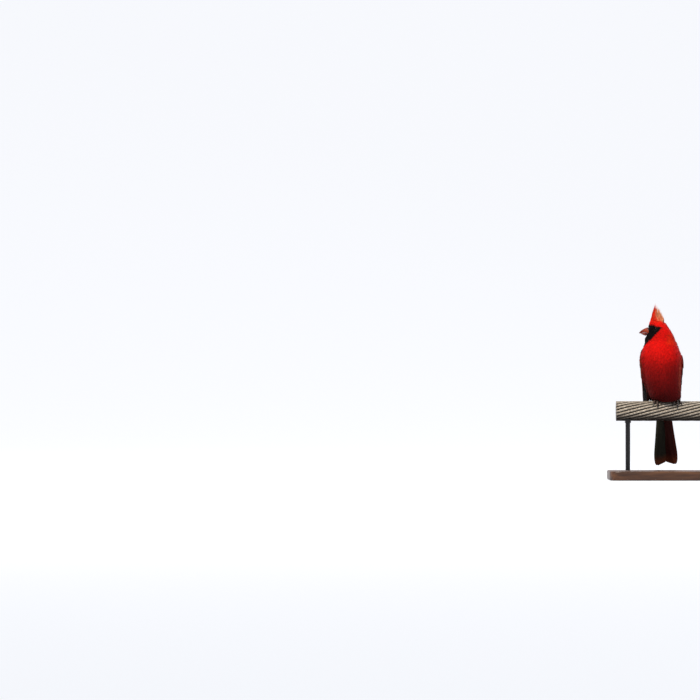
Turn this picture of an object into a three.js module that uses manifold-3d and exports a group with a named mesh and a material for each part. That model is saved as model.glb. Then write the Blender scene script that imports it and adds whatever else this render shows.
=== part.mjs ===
// A life-size model of a male northern cardinal that perches on a short cut length of steel wire strand.
// The strand lies on two rods over a flat base. Millimetres, +Z up, origin at the centre of the base's underside.
// The bird faces -Y, leans a little to -X, and looks over its right shoulder, towards -X.
import * as THREE from "three";
import { mergeVertices } from "three/addons/utils/BufferGeometryUtils.js";
import Module from "manifold-3d";

const wasm = await Module();
wasm.setup();

// Driving dimensions
const GAP = 0.3; // between pieces that touch
const STRAND_DIAMETER = 25.4;
const STRAND_LENGTH = 130;
const STRAND_WIRES = 18; // in the outer layer
const STRAND_LAY = 281; // length of one full turn of a wire
const STRAND_HEIGHT = 88; // of its axis above the floor
const BASE_LENGTH = 150;
const BASE_DEPTH = 104;
const BASE_THICKNESS = 12;
const BASE_CORNER = 14;
const ROD_RADIUS = 3;
const ROD_REACH = 50; // of each rod from the middle
const FOOT_REACH = 12.6; // of each foot from the middle
const BODY_TURN = 7; // degrees, of the breast towards +X
const HEAD_TURN = -12; // degrees, of the crosswise head away from the breast's side
const TAIL_LENGTH = 103;

// The body in level slices. Heights are above the strand's axis. Each slice is an oval that reaches
// from left to right across and from front to back, turned about its middle. bluntness is the power
// of the oval's bill side: 2 is an ellipse, and less is more pointed.
const BODY = [
  { z: 11.5, left: -15.4, right: 14.6, front: -13.5, back: 22, turn: BODY_TURN, bluntness: 2 },
  { z: 13.5, left: -19.2, right: 17.6, front: -17, back: 27, turn: BODY_TURN, bluntness: 2 },
  { z: 17, left: -21.6, right: 18.2, front: -20, back: 29.5, turn: BODY_TURN, bluntness: 2 },
  { z: 28, left: -26, right: 18, front: -25, back: 31, turn: BODY_TURN, bluntness: 2 },
  { z: 41, left: -30.4, right: 17.9, front: -28.2, back: 28.5, turn: BODY_TURN, bluntness: 2 },
  { z: 54, left: -32, right: 18.6, front: -29.6, back: 25.5, turn: BODY_TURN, bluntness: 2 },
  { z: 65, left: -33.2, right: 18.8, front: -29, back: 22, turn: BODY_TURN, bluntness: 2 },
  { z: 73, left: -32.8, right: 17.4, front: -27, back: 18.5, turn: BODY_TURN, bluntness: 2 },
  { z: 81, left: -30.4, right: 14.8, front: -23.5, back: 14.5, turn: 4, bluntness: 2 },
  { z: 88, left: -28.8, right: 12, front: -20.2, back: 11, turn: -3, bluntness: 1.95 },
  { z: 91.5, left: -30, right: 10.6, front: -19.4, back: 9.6, turn: -7, bluntness: 1.8 },
  { z: 95.5, left: -28, right: 9.2, front: -19, back: 8.4, turn: -10, bluntness: 1.7 },
  { z: 100.5, left: -25, right: 6.4, front: -18.8, back: 7.4, turn: HEAD_TURN, bluntness: 1.6 },
  { z: 106, left: -25.2, right: 2.8, front: -18.2, back: 6.8, turn: HEAD_TURN, bluntness: 1.65 },
  { z: 110, left: -23.8, right: 0.2, front: -16.8, back: 5.4, turn: HEAD_TURN, bluntness: 1.8 },
  { z: 114, left: -21.8, right: -2.8, front: -14, back: 2.6, turn: HEAD_TURN, bluntness: 1.9 },
  { z: 118, left: -20.2, right: -5.2, front: -11.2, back: -0.2, turn: HEAD_TURN, bluntness: 2 },
  { z: 124, left: -18.6, right: -7.2, front: -9.2, back: -2.2, turn: HEAD_TURN, bluntness: 2 },
  { z: 130, left: -16.9, right: -10.6, front: -7.8, back: -3.6, turn: HEAD_TURN, bluntness: 2 },
];
const NECK_LOW = 79; // heights where the body is parted
const NECK_HIGH = 89.5;
const CROWN = 113.5;

// The surface that the folded wings lie on, in slices like the body's
const MANTLE = [
  { z: -14, left: -24.5, right: 10, front: 6, back: 39, turn: BODY_TURN, bluntness: 2 },
  { z: 5, left: -28.6, right: 16, front: -4, back: 37, turn: BODY_TURN, bluntness: 2 },
  { z: 17, left: -30.2, right: 18, front: -12, back: 35, turn: BODY_TURN, bluntness: 2 },
  { z: 28, left: -30.8, right: 19, front: -22, back: 33.4, turn: BODY_TURN, bluntness: 2 },
  { z: 41, left: -31.6, right: 19, front: -29.4, back: 30.2, turn: BODY_TURN, bluntness: 2 },
  { z: 54, left: -32.9, right: 19.5, front: -30.8, back: 27.2, turn: BODY_TURN, bluntness: 2 },
  { z: 65, left: -33.9, right: 19.6, front: -30.2, back: 23.6, turn: BODY_TURN, bluntness: 2 },
  { z: 73, left: -33.4, right: 18.3, front: -28.2, back: 20, turn: BODY_TURN, bluntness: 2 },
  { z: 81, left: -30.8, right: 15.4, front: -24.4, back: 15.6, turn: 4, bluntness: 2 },
  { z: 88, left: -29, right: 12.6, front: -21, back: 12, turn: -3, bluntness: 2 },
];

const radians = THREE.MathUtils.degToRad;
const lerp = THREE.MathUtils.lerp;
const strandAxis = new THREE.Vector3(0, 0, STRAND_HEIGHT);

// A slice at any height, on a smooth curve through the stations
function sliceAt(stations, z) {
  const last = stations.length - 1;
  let i = 0;
  while (i < last - 1 && z > stations[i + 1].z) i += 1;
  const [a, b] = [stations[i], stations[i + 1]];
  const [before, after] = [stations[Math.max(i - 1, 0)], stations[Math.min(i + 2, last)]];
  const step = b.z - a.z;
  const t = THREE.MathUtils.clamp((z - a.z) / step, 0, 1);
  const slice = {};
  for (const key of Object.keys(a)) {
    const slopeIn = ((b[key] - before[key]) / (b.z - before.z)) * step;
    const slopeOut = ((after[key] - a[key]) / (after.z - a.z)) * step;
    const [t2, t3] = [t * t, t * t * t];
    slice[key] =
      (2 * t3 - 3 * t2 + 1) * a[key] +
      (t3 - 2 * t2 + t) * slopeIn +
      (3 * t2 - 2 * t3) * b[key] +
      (t3 - t2) * slopeOut;
  }
  return { ...slice, z };
}

// A point of a slice's rim, where grow moves the rim out, and share is 0 at the middle and 1 on the rim
function rimPoint(slice, angle, grow = 0, share = 1) {
  const middle = new THREE.Vector2((slice.left + slice.right) / 2, (slice.front + slice.back) / 2);
  const across = (slice.right - slice.left) / 2 + grow;
  const deep = (slice.back - slice.front) / 2 + grow;
  const power = Math.cos(angle) < 0 ? 2 / slice.bluntness : 1;
  const rim = new THREE.Vector2(
    across * Math.sign(Math.cos(angle)) * Math.abs(Math.cos(angle)) ** power,
    deep * Math.sign(Math.sin(angle)) * Math.abs(Math.sin(angle)) ** power,
  );
  rim.multiplyScalar(share).rotateAround(new THREE.Vector2(), radians(slice.turn)).add(middle);
  return new THREE.Vector3(rim.x, rim.y, slice.z).add(strandAxis);
}

// A closed shape made by moving each vertex of a unit cylinder. place gets the share of its
// height, the angle round it and the share of its radius.
function moulded(sides, rings, place) {
  const geometry = new THREE.CylinderGeometry(1, 1, 1, sides, rings);
  const position = geometry.attributes.position;
  const vertex = new THREE.Vector3();
  for (let i = 0; i < position.count; i += 1) {
    vertex.fromBufferAttribute(position, i);
    const share = Math.min(Math.hypot(vertex.x, vertex.z), 1);
    const moved = place(vertex.y + 0.5, Math.atan2(vertex.z, vertex.x), share < 0.5 ? 0 : 1);
    position.setXYZ(i, moved.x, moved.y, moved.z);
  }
  return geometry;
}

// A closed geometry as a solid for joining and cutting, whichever way its faces point
function solid(geometry) {
  const bare = geometry.clone();
  for (const name of ["normal", "uv"]) bare.deleteAttribute(name);
  const merged = mergeVertices(bare, 1e-4);
  const triVerts = new Uint32Array(merged.index.array);
  const vertProperties = new Float32Array(merged.attributes.position.array);
  const made = new wasm.Manifold(new wasm.Mesh({ numProp: 3, vertProperties, triVerts }));
  if (made.volume() > 0) return made;
  for (let i = 0; i < triVerts.length; i += 3) {
    [triVerts[i + 1], triVerts[i + 2]] = [triVerts[i + 2], triVerts[i + 1]];
  }
  return new wasm.Manifold(new wasm.Mesh({ numProp: 3, vertProperties, triVerts }));
}

// The body or mantle between two heights, with its rim moved out by grow
function sliced(stations, low, high, sides, rings, grow = 0) {
  return solid(
    moulded(sides, rings, (height, angle, share) =>
      rimPoint(sliceAt(stations, lerp(low, high, height)), angle, grow, share),
    ),
  );
}

function joined(solids) {
  return solids.reduce((whole, piece) => whole.add(piece));
}

// The largest closed surface of a solid, which drops loose scraps
function largest(whole) {
  return whole.decompose().sort((a, b) => b.volume() - a.volume())[0];
}

// A feather's vane: a thin blade whose two faces split into the same triangles. place gets the share of
// its length, the share across it from -1 to 1, and 0 for its under face or 1 for its upper face.
function vane(segments, columns, place) {
  const geometry = new THREE.BoxGeometry(1, 1, 1, columns, segments, 1);
  const [position, index] = [geometry.attributes.position, geometry.index.array];
  const under = geometry.groups[5];
  for (let i = under.start; i < under.start + under.count; i += 6) {
    const [a, b, d, , c] = index.slice(i, i + 6);
    index.set([a, b, c, a, c, d], i);
  }
  for (let i = 0; i < position.count; i += 1) {
    const moved = place(position.getY(i) + 0.5, position.getX(i) * 2, position.getZ(i) + 0.5);
    position.setXYZ(i, moved.x, moved.y, moved.z);
  }
  return solid(geometry);
}

// The share of its full width that a vane has along its length
function vaneWidth(along) {
  return Math.sin(Math.PI * (0.1 + 0.83 * along)) ** 0.6;
}

const part = new THREE.Group();

function addNode(name, whole, colour, roughness, metalness = 0) {
  const mesh = largest(whole).getMesh();
  const geometry = new THREE.BufferGeometry();
  geometry.setAttribute("position", new THREE.BufferAttribute(mesh.vertProperties, 3));
  geometry.setIndex(new THREE.BufferAttribute(mesh.triVerts, 1));
  geometry.computeVertexNormals();
  const material = new THREE.MeshStandardMaterial({ color: colour, roughness, metalness });
  const node = new THREE.Mesh(geometry, material);
  node.name = name;
  part.add(node);
}

function box(low, high) {
  const size = new THREE.Vector3().subVectors(high, low);
  const geometry = new THREE.BoxGeometry(size.x, size.y, size.z);
  return solid(geometry.translate(low.x + size.x / 2, low.y + size.y / 2, low.z + size.z / 2));
}

// Stand and strand
function makeBase() {
  const [x, y, r] = [BASE_LENGTH / 2, BASE_DEPTH / 2, BASE_CORNER];
  const bevel = 1.5;
  const outline = new THREE.Shape();
  const corners = [
    [x - r, y - r, 0],
    [r - x, y - r, 90],
    [r - x, r - y, 180],
    [x - r, r - y, 270],
  ];
  for (const [cx, cy, from] of corners) {
    outline.absarc(cx, cy, r - bevel, radians(from), radians(from + 90));
  }
  const geometry = new THREE.ExtrudeGeometry(outline, {
    depth: BASE_THICKNESS - 2 * bevel,
    bevelThickness: bevel,
    bevelSize: bevel,
    bevelSegments: 2,
    curveSegments: 5,
  });
  return solid(geometry.translate(0, 0, bevel));
}

function strandBore(grow) {
  const radius = STRAND_DIAMETER / 2 + grow;
  const geometry = new THREE.CylinderGeometry(radius, radius, STRAND_LENGTH * 2, 36);
  return solid(geometry.rotateZ(Math.PI / 2).translate(0, 0, STRAND_HEIGHT));
}

function makeRod(side) {
  const height = STRAND_HEIGHT - BASE_THICKNESS - GAP;
  const rod = new THREE.CylinderGeometry(ROD_RADIUS, ROD_RADIUS, height, 20);
  rod.rotateX(Math.PI / 2).translate(side * ROD_REACH, 0, BASE_THICKNESS + GAP + height / 2);
  const saddleTop = STRAND_HEIGHT - STRAND_DIAMETER * 0.36;
  const saddle = box(
    new THREE.Vector3(side * ROD_REACH - 3.6, -8, saddleTop - 6),
    new THREE.Vector3(side * ROD_REACH + 3.6, 8, saddleTop),
  );
  return solid(rod).add(saddle).subtract(strandBore(GAP));
}

function makeStrand() {
  const wire = STRAND_DIAMETER / 7;
  const perWire = 3;
  const ridge = [STRAND_DIAMETER / 2 - wire * 0.34, STRAND_DIAMETER / 2, STRAND_DIAMETER / 2];
  const geometry = moulded(STRAND_WIRES * perWire, 8, (along, angle, share) => {
    const corner = Math.round((angle / (2 * Math.PI)) * STRAND_WIRES * perWire);
    const radius = share * ridge[(corner + STRAND_WIRES * perWire) % perWire];
    const x = (along - 0.5) * STRAND_LENGTH;
    const turned = angle - (x / STRAND_LAY) * 2 * Math.PI;
    return new THREE.Vector3(x, radius * Math.cos(turned), radius * Math.sin(turned)).add(strandAxis);
  });
  return solid(geometry);
}

// Feet. Angles are round the strand's axis from its top, and more is further to the front.
const TOES = [
  { name: "inner", from: -6, to: 42, claw: 62, spread: -4.2, radius: 1.35 },
  { name: "middle", from: -6, to: 58, claw: 82, spread: 0, radius: 1.45 },
  { name: "outer", from: -6, to: 45, claw: 66, spread: 4.6, radius: 1.35 },
  { name: "hind", from: -6, to: -48, claw: -80, spread: -1, radius: 1.5 },
];

// A point on a toe's middle line, at a height of radius over the strand
function toePoint(side, toe, angle, radius) {
  const reach = STRAND_DIAMETER / 2 + GAP + radius;
  const out = (side * toe.spread * (angle - toe.from)) / (toe.to - toe.from);
  const a = radians(angle);
  const at = new THREE.Vector3(side * FOOT_REACH + out, -reach * Math.sin(a), reach * Math.cos(a));
  return at.add(strandAxis);
}

// A round tube from one angle to another along a toe, whose radius follows thickness(share)
function toeTube(side, toe, from, to, sides, rings, thickness, grow = 0) {
  const geometry = moulded(sides, rings, (share, angle, rim) => {
    const radius = thickness(share);
    const along = lerp(from, to, share);
    const middle = toePoint(side, toe, along, radius);
    const a = radians(along);
    const up = new THREE.Vector3(0, -Math.sin(a), Math.cos(a));
    const offset = up.multiplyScalar(Math.sin(angle)).add(new THREE.Vector3(Math.cos(angle), 0, 0));
    return middle.add(offset.multiplyScalar(rim * (radius + grow)));
  });
  return solid(geometry);
}

function knuckled(radius) {
  return (share) => radius * (1 - 0.14 * share) * (1 + 0.09 * Math.cos(share * 3 * 2 * Math.PI));
}

function clawShape(radius) {
  return (share) => lerp(radius * 0.72, 0.16, share ** 0.8);
}

function makeFoot(side, grow = 0) {
  const toes = TOES.map((toe) => toeTube(side, toe, toe.from, toe.to, 7, 6, knuckled(toe.radius), grow));
  const hub = new THREE.SphereGeometry(1.9 + grow, 8, 5);
  const at = toePoint(side, TOES[1], TOES[1].from, 1.9);
  hub.translate(at.x, at.y, at.z);
  return joined([...toes, solid(hub)]);
}

function makeClaw(side, toe, grow = 0) {
  const clear = (Math.sign(toe.to) * GAP * 1.2 * 180) / Math.PI / (STRAND_DIAMETER / 2);
  return toeTube(side, toe, toe.to + clear, toe.claw, 6, 5, clawShape(toe.radius), grow);
}

// The lower leg, hidden in the belly's plumage, from the foot's hub up and back
const SHANK = { low: 16.2, high: 27, radius: 1.35, lean: 4.5 };
function makeShank(side, grow = 0) {
  const geometry = moulded(10, 4, (share, angle, rim) => {
    const radius = (SHANK.radius + grow) * rim;
    const z = lerp(SHANK.low - grow, SHANK.high + grow, share);
    const y = 1.6 + SHANK.lean * share;
    const x = side * FOOT_REACH;
    const at = new THREE.Vector3(x + radius * Math.cos(angle), y + radius * Math.sin(angle), z);
    return at.add(strandAxis);
  });
  return solid(geometry);
}

// Head frame: ahead is towards the bill, beside is to the bird's left, and up is +Z
const EYE_HEIGHT = 104.4;
const eyeSlice = sliceAt(BODY, EYE_HEIGHT);
const ahead = new THREE.Vector3(-Math.cos(radians(HEAD_TURN)), -Math.sin(radians(HEAD_TURN)), 0);
const beside = new THREE.Vector3(0, 0, 1).cross(ahead);
const betweenEyes = new THREE.Vector3(
  (eyeSlice.left + eyeSlice.right) / 2,
  (eyeSlice.front + eyeSlice.back) / 2,
  EYE_HEIGHT,
)
  .add(strandAxis)
  .addScaledVector(ahead, 3.4);

function headPoint(forward, sideways, up) {
  return betweenEyes
    .clone()
    .addScaledVector(ahead, forward)
    .addScaledVector(beside, sideways)
    .add(new THREE.Vector3(0, 0, up));
}

// Eyes
const EYE = { radius: 4, forward: -1.4, sideways: 8.3, up: 0 };
function eyeAxis(side) {
  const axis = ahead.clone().multiplyScalar(0.45).addScaledVector(beside, side * 0.88);
  return axis.add(new THREE.Vector3(0, 0, 0.12)).normalize();
}

function makeEye(side, grow = 0) {
  const at = headPoint(EYE.forward, side * EYE.sideways, EYE.up);
  const geometry = new THREE.SphereGeometry(EYE.radius + grow, 14, 9);
  return solid(geometry.translate(at.x, at.y, at.z));
}

function makeLids(side) {
  const ring = new THREE.TorusGeometry(3.1, 0.75, 5, 14);
  ring.applyQuaternion(new THREE.Quaternion().setFromUnitVectors(new THREE.Vector3(0, 0, 1), eyeAxis(side)));
  const at = headPoint(EYE.forward, side * EYE.sideways, EYE.up).addScaledVector(eyeAxis(side), 2.55);
  return solid(ring.translate(at.x, at.y, at.z));
}

// The bill's slices, at distances ahead of the eyes
const BILL = [
  { z: 5, top: 3.4, bottom: -10.4, half: 5.8 },
  { z: 10.5, top: 2.6, bottom: -9.9, half: 5.2 },
  { z: 14.5, top: 1.2, bottom: -8.3, half: 3.9 },
  { z: 18.5, top: -1.0, bottom: -6.6, half: 2.4 },
  { z: 21.3, top: -3.3, bottom: -5.5, half: 1 },
  { z: 22.4, top: -4.8, bottom: -5.1, half: 0.25 },
];
function makeBill() {
  const geometry = moulded(16, 8, (share, angle, rim) => {
    const slice = sliceAt(BILL, lerp(BILL[0].z, BILL[BILL.length - 1].z, share));
    const middle = (slice.top + slice.bottom) / 2;
    const tall = (slice.top - slice.bottom) / 2;
    const up = middle + rim * tall * Math.sin(angle);
    return headPoint(slice.z, rim * slice.half * Math.cos(angle), up);
  });
  return solid(geometry);
}

// The mouth line, from behind the gape to past the tip, as distances ahead of and above the eyes
const MOUTH = [
  [-2, -11.5],
  [7.5, -8.4],
  [10.4, -4.9],
  [14.5, -4.1],
  [18.5, -4.7],
  [24, -6.6],
];
function mouthSide(up, drop) {
  const outline = new THREE.Shape();
  MOUTH.forEach(([forward, height], i) => {
    if (i) outline.lineTo(forward, height - drop);
    else outline.moveTo(forward, height - drop);
  });
  outline.lineTo(24, up);
  outline.lineTo(-2, up);
  const slab = new THREE.ExtrudeGeometry(outline, { depth: 24, bevelEnabled: false });
  slab.translate(0, 0, -12);
  const frame = new THREE.Matrix4().makeBasis(ahead, new THREE.Vector3(0, 0, 1), beside);
  return solid(slab.applyMatrix4(frame.setPosition(betweenEyes)));
}

function nostril(side) {
  const pit = new THREE.SphereGeometry(1, 8, 6).scale(1.25, 0.7, 0.75);
  pit.rotateZ(radians(-HEAD_TURN));
  const at = headPoint(12.6, side * 3.7, 0.1);
  return solid(pit.translate(at.x, at.y, at.z));
}

// Tail frame: down runs to the tip, out is to the bird's back, and over is across it
const tailRoot = new THREE.Vector3(-4.6, 22.5, 31).add(strandAxis);
const tailEnd = new THREE.Vector3(0.9, 42, -67.6).add(strandAxis);
const tailDown = new THREE.Vector3().subVectors(tailEnd, tailRoot).normalize();
const tailOver = new THREE.Vector3(1, 0.08, 0).cross(tailDown).cross(tailDown).negate().normalize();
const tailOut = new THREE.Vector3().crossVectors(tailOver, tailDown).negate();
if (tailOut.y < 0) tailOut.negate();

function tailPoint(down, over, out) {
  return tailRoot
    .clone()
    .addScaledVector(tailDown, down)
    .addScaledVector(tailOver, over)
    .addScaledVector(tailOut, out);
}

const COVERTS = [
  { z: -6, over: 15, out: 8.5 },
  { z: 8, over: 16.4, out: 8.6 },
  { z: 20, over: 15, out: 7.6 },
  { z: 32, over: 11, out: 5.4 },
  { z: 43, over: 8, out: 3.2 },
  { z: 51, over: 5, out: 1.6 },
];
function makeTailCoverts(grow = 0) {
  return solid(
    moulded(24, 8, (share, angle, rim) => {
      const slice = sliceAt(COVERTS, lerp(COVERTS[0].z, COVERTS[COVERTS.length - 1].z + grow, share));
      const [over, out] = [slice.over + grow, slice.out + grow];
      return tailPoint(slice.z, rim * over * Math.cos(angle), rim * out * Math.sin(angle));
    }),
  );
}

// The space that the tail fills, for cutting its neighbours
function makeTailRoom() {
  const fan = moulded(16, 6, (share, angle, rim) => {
    const down = lerp(4, TAIL_LENGTH + GAP, share);
    const half = lerp(6.5, 17, share);
    return tailPoint(down, rim * half * Math.cos(angle), rim * 3.7 * Math.sin(angle) - 0.6);
  });
  return makeTailCoverts(GAP).add(solid(fan));
}

// Six pairs of tail feathers. The middle pair lies at the back, and the outer pairs in front of it.
const TAIL_PAIRS = 6;
function makeTail() {
  const feathers = [];
  for (let pair = 0; pair < TAIL_PAIRS; pair += 1) {
    for (const side of [1, -1]) {
      const length = TAIL_LENGTH - 3.4 + 0.68 * pair - (pair === TAIL_PAIRS - 1 ? 1 : 0);
      const level = 1 - 0.52 * pair + 0.13 * side;
      feathers.push(
        vane(5, 2, (along, across, upper) => {
          const spread = side * lerp(0.6 + 0.6 * pair, 2 + 2.05 * pair, along ** 1.5);
          const over = spread + across * 4.9 * vaneWidth(along) * lerp(0.75, 1, along);
          const tilt = 0.34 * side * across * along;
          return tailPoint(length * along, over, level + tilt + 0.62 * upper - 0.25 * across ** 2);
        }),
      );
    }
  }
  return joined([makeTailCoverts(), ...feathers]);
}

// The folded wing's outline from the side, as distances to the back and heights
const WING_OUTLINE = [
  [-5, 70],
  [-2, 77],
  [4, 80],
  [11, 78],
  [19, 65],
  [25, 49],
  [26, 30],
  [10, 30],
  [2, 45],
  [-3, 59],
];
function makeWingCore(side) {
  const outline = new THREE.Shape(WING_OUTLINE.map(([y, z]) => new THREE.Vector2(y, z)));
  const prism = new THREE.ExtrudeGeometry(outline, { depth: 60, bevelEnabled: false });
  const frame = new THREE.Matrix4().makeBasis(
    new THREE.Vector3(0, 1, 0),
    new THREE.Vector3(0, 0, 1),
    new THREE.Vector3(1, 0, 0),
  );
  prism.applyMatrix4(frame).translate(side > 0 ? -6 : -68, 0, STRAND_HEIGHT);
  return sliced(MANTLE, 28, 88, 20, 5).intersect(solid(prism));
}

// A point on the wing of one side, out from the mantle, where y counts in the body's own frame
function wingPoint(side, y, z, out) {
  const slice = sliceAt(MANTLE, z);
  const middle = (slice.front + slice.back) / 2;
  const rise = THREE.MathUtils.clamp((y - middle) / ((slice.back - slice.front) / 2), -0.98, 0.98);
  const angle = side > 0 ? Math.asin(rise) : Math.PI - Math.asin(rise);
  return rimPoint(slice, angle, out);
}

// Tiers of the wing's feathers, from the breast's edge to the back's. Each gives its first and last feather as
// [y, z] of the root and tip, its vanes' width, their level over the mantle, and how much their lower edges lift.
const WING_TIERS = [
  {
    count: 4, roots: [[-1, 57], [5, 50]], tips: [[24, 9], [31.5, -6.5]],
    width: 7.6, level: [-0.3, -0.2], lift: 0.3, bow: -2,
  },
  {
    count: 3, roots: [[6, 54], [9, 54]], tips: [[31.4, 0], [30.2, 13]],
    width: 7.6, level: [-0.2, -0.1], lift: 0.34, bow: -1.4,
  },
  {
    count: 4, roots: [[8, 58], [15, 60]], tips: [[29.6, 17], [30, 26]],
    width: 6.4, level: [-0.1, 0.1], lift: 0.4, bow: -1,
  },
  {
    count: 3, roots: [[14, 66], [18, 68]], tips: [[30, 29], [27.6, 42]],
    width: 9, level: [0, 0.4], lift: 0.45, bow: -0.4,
  },
  {
    count: 2, roots: [[-5, 66], [-2, 64]], tips: [[1, 43], [8, 41]],
    width: 7, level: [-0.3, 0], lift: 0.3, bow: -1,
  },
  {
    count: 5, roots: [[0, 65], [16, 70]], tips: [[9, 42], [25, 52]],
    width: 7.4, level: [0, 0.5], lift: 0.45, bow: -0.8,
  },
  {
    count: 4, roots: [[-3, 71], [13, 75]], tips: [[-1, 54], [20.5, 63]],
    width: 8.4, level: [0, 0.85], lift: 0.45, bow: -0.5,
  },
  {
    count: 3, roots: [[4, 80], [12, 79]], tips: [[13, 66], [24, 56]],
    width: 9, level: [0, 1.2], lift: 0.4, bow: -0.3,
  },
];
const VANE_THICKNESS = 0.6;

function makeWingFeathers(side) {
  const pair = ([from, to], share) => [lerp(from[0], to[0], share), lerp(from[1], to[1], share)];
  return WING_TIERS.flatMap((tier) =>
    Array.from({ length: tier.count }, (_, i) => {
      const share = i / (tier.count - 1);
      const [root, tip] = [pair(tier.roots, share), pair(tier.tips, share)];
      const [dy, dz] = [tip[0] - root[0], tip[1] - root[1]];
      const length = Math.hypot(dy, dz);
      return vane(length > 35 ? 4 : 2, 1, (along, across, upper) => {
        const aside = tier.bow * 4 * along * (1 - along) + across * (tier.width / 2) * vaneWidth(along);
        const y = root[0] + dy * along - (dz / length) * aside;
        const z = root[1] + dz * along + (dy / length) * aside;
        const level = lerp(tier.level[0], tier.level[1], along) - tier.lift * across;
        return wingPoint(side, y, z, level + upper * VANE_THICKNESS);
      });
    }),
  );
}

function makeWing(side) {
  return joined([makeWingCore(side), ...makeWingFeathers(side)])
    .subtract(sliced(BODY, 11.5, 92, 28, 12, GAP + 0.2))
    .subtract(makeTailRoom());
}

// The crest's feathers from the brow to the nape, as [forward, up] of the root and tip from between the eyes
const CREST = [
  { root: [8.2, 5.5], tip: [6.2, 14.5] },
  { root: [6.6, 6.5], tip: [4.7, 21] },
  { root: [4.6, 7], tip: [3, 26.6] },
  { root: [2, 7], tip: [1.1, 29.8] },
  { root: [-0.6, 7], tip: [-1.6, 27] },
  { root: [-3.4, 7], tip: [-4.6, 24] },
  { root: [-6, 7], tip: [-7.2, 20] },
  { root: [-8.4, 6.5], tip: [-10, 13] },
];
function makeCrestFeathers() {
  return CREST.flatMap(({ root, tip }) =>
    [-1, 0, 1].map((beside) =>
      vane(3, 1, (along, across, upper) => {
        const reach = beside ? 0.88 * along : along;
        const half = 2.3 * vaneWidth(along) * (1 - 0.55 * along ** 2);
        const forward = lerp(root[0], tip[0], reach) + across * half;
        const aside = beside * lerp(3.4, 1.5, along) + (upper - 0.5) * lerp(1.6, 0.5, along);
        return headPoint(forward, aside, lerp(root[1], tip[1], reach));
      }),
    ),
  );
}

// The whole body, parted into torso, neck, head and crest
function makeBody(low, high, rings, grow = 0) {
  return sliced(BODY, low, high, 28, rings, grow);
}

const feet = joined([1, -1].map((side) => makeFoot(side, GAP)));
const claws = joined([1, -1].flatMap((side) => TOES.map((toe) => makeClaw(side, toe, GAP))));
const shanks = joined([1, -1].map((side) => makeShank(side, GAP)));

const torso = makeBody(BODY[0].z, NECK_LOW - GAP, 12)
  .subtract(strandBore(GAP + 0.1))
  .subtract(feet)
  .subtract(claws)
  .subtract(shanks);
const torsoGrown = makeBody(BODY[0].z - GAP, NECK_LOW, 12, GAP);
const headLump = makeBody(NECK_HIGH, CROWN - GAP, 9);
const head = joined([headLump, ...[1, -1].map(makeLids)]).subtract(
  joined([1, -1].map((side) => makeEye(side, GAP))),
);
const headGrown = makeBody(NECK_HIGH - GAP, CROWN, 9, GAP);
const crestCore = makeBody(CROWN - 1, 124, 5, -0.9);
const crest = joined([crestCore, ...makeCrestFeathers()]).subtract(headGrown);
const bill = makeBill().subtract(headGrown);
const upperBill = bill
  .intersect(mouthSide(12, 0))
  .subtract(joined([1, -1].map(nostril)));
const lowerBill = bill.subtract(mouthSide(12, GAP));

const RED = 0xc01810;
const DARK_RED = 0x8c1a14;
const BILL_ORANGE = 0xc8512e;
const LEG_BROWN = 0x5c3a2e;
addNode("stand_base", makeBase(), 0x3a2b22, 0.5);
for (const [side, word] of [[1, "left"], [-1, "right"]]) {
  addNode(`stand_rod_${word}`, makeRod(side), 0x303030, 0.4, 0.8);
}
addNode("perch_strand", makeStrand(), 0x9a958c, 0.45, 0.9);
addNode("torso", torso, RED, 0.8);
addNode("neck", makeBody(NECK_LOW, NECK_HIGH - GAP, 4), RED, 0.8);
addNode("head", head, RED, 0.8);
addNode("crest", crest, RED, 0.8);
addNode("bill_upper", upperBill, BILL_ORANGE, 0.45);
addNode("bill_lower", lowerBill, BILL_ORANGE, 0.45);
addNode("tail", makeTail().subtract(torsoGrown), DARK_RED, 0.75);
for (const [side, word] of [[1, "left"], [-1, "right"]]) {
  addNode(`eye_${word}`, makeEye(side), 0x120c0a, 0.12);
  addNode(`wing_${word}`, makeWing(side), DARK_RED, 0.75);
  addNode(`leg_${word}`, makeShank(side), LEG_BROWN, 0.7);
  addNode(`foot_${word}`, makeFoot(side).subtract(makeShank(side, GAP)), LEG_BROWN, 0.7);
  for (const toe of TOES) addNode(`claw_${word}_${toe.name}`, makeClaw(side, toe), 0x2a1f1a, 0.4);
}

export default part;
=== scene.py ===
"""Looks for the perched cardinal: skin, feathers, bill, eyes, feet, strand and stand, in the shared frame.

Named sizes are millimetres unless a comment says metres. Heights are over the strand's axis, and mm() turns
such a place into metres of the frame.
"""

import itertools
import math

import bmesh
import bpy
import numpy as np
from mathutils import Matrix, Vector
from mathutils.bvhtree import BVHTree


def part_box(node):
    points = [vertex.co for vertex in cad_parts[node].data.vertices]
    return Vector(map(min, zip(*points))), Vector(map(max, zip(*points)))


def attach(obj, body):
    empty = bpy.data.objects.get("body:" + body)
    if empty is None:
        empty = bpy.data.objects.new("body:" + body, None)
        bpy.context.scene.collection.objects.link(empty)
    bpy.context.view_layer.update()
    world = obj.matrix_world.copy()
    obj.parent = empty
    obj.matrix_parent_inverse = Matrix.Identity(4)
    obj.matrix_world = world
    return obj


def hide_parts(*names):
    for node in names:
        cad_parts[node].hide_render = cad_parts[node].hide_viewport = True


SEED = 7
STRAND_HEIGHT = 88.0  # of its axis above the floor
STRAND_DIAMETER = 25.4
STRAND_LENGTH = 130.0
STRAND_WIRES = 18  # in the outer layer
STRAND_LAY = 281.0  # length of one full turn of a wire
FOOT_REACH = 12.6  # of each foot from the middle
BODY_TURN = 7.0  # degrees
HEAD_TURN = -12.0  # degrees
TAIL_LENGTH = 103.0
COAT_DEPTH = 1.5  # from the skin to the solids' surface on the body
FACE_DEPTH = 0.6  # the same on the face
SHANK_RADIUS = 1.35
GAP = 0.3  # between pieces that touch

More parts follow.
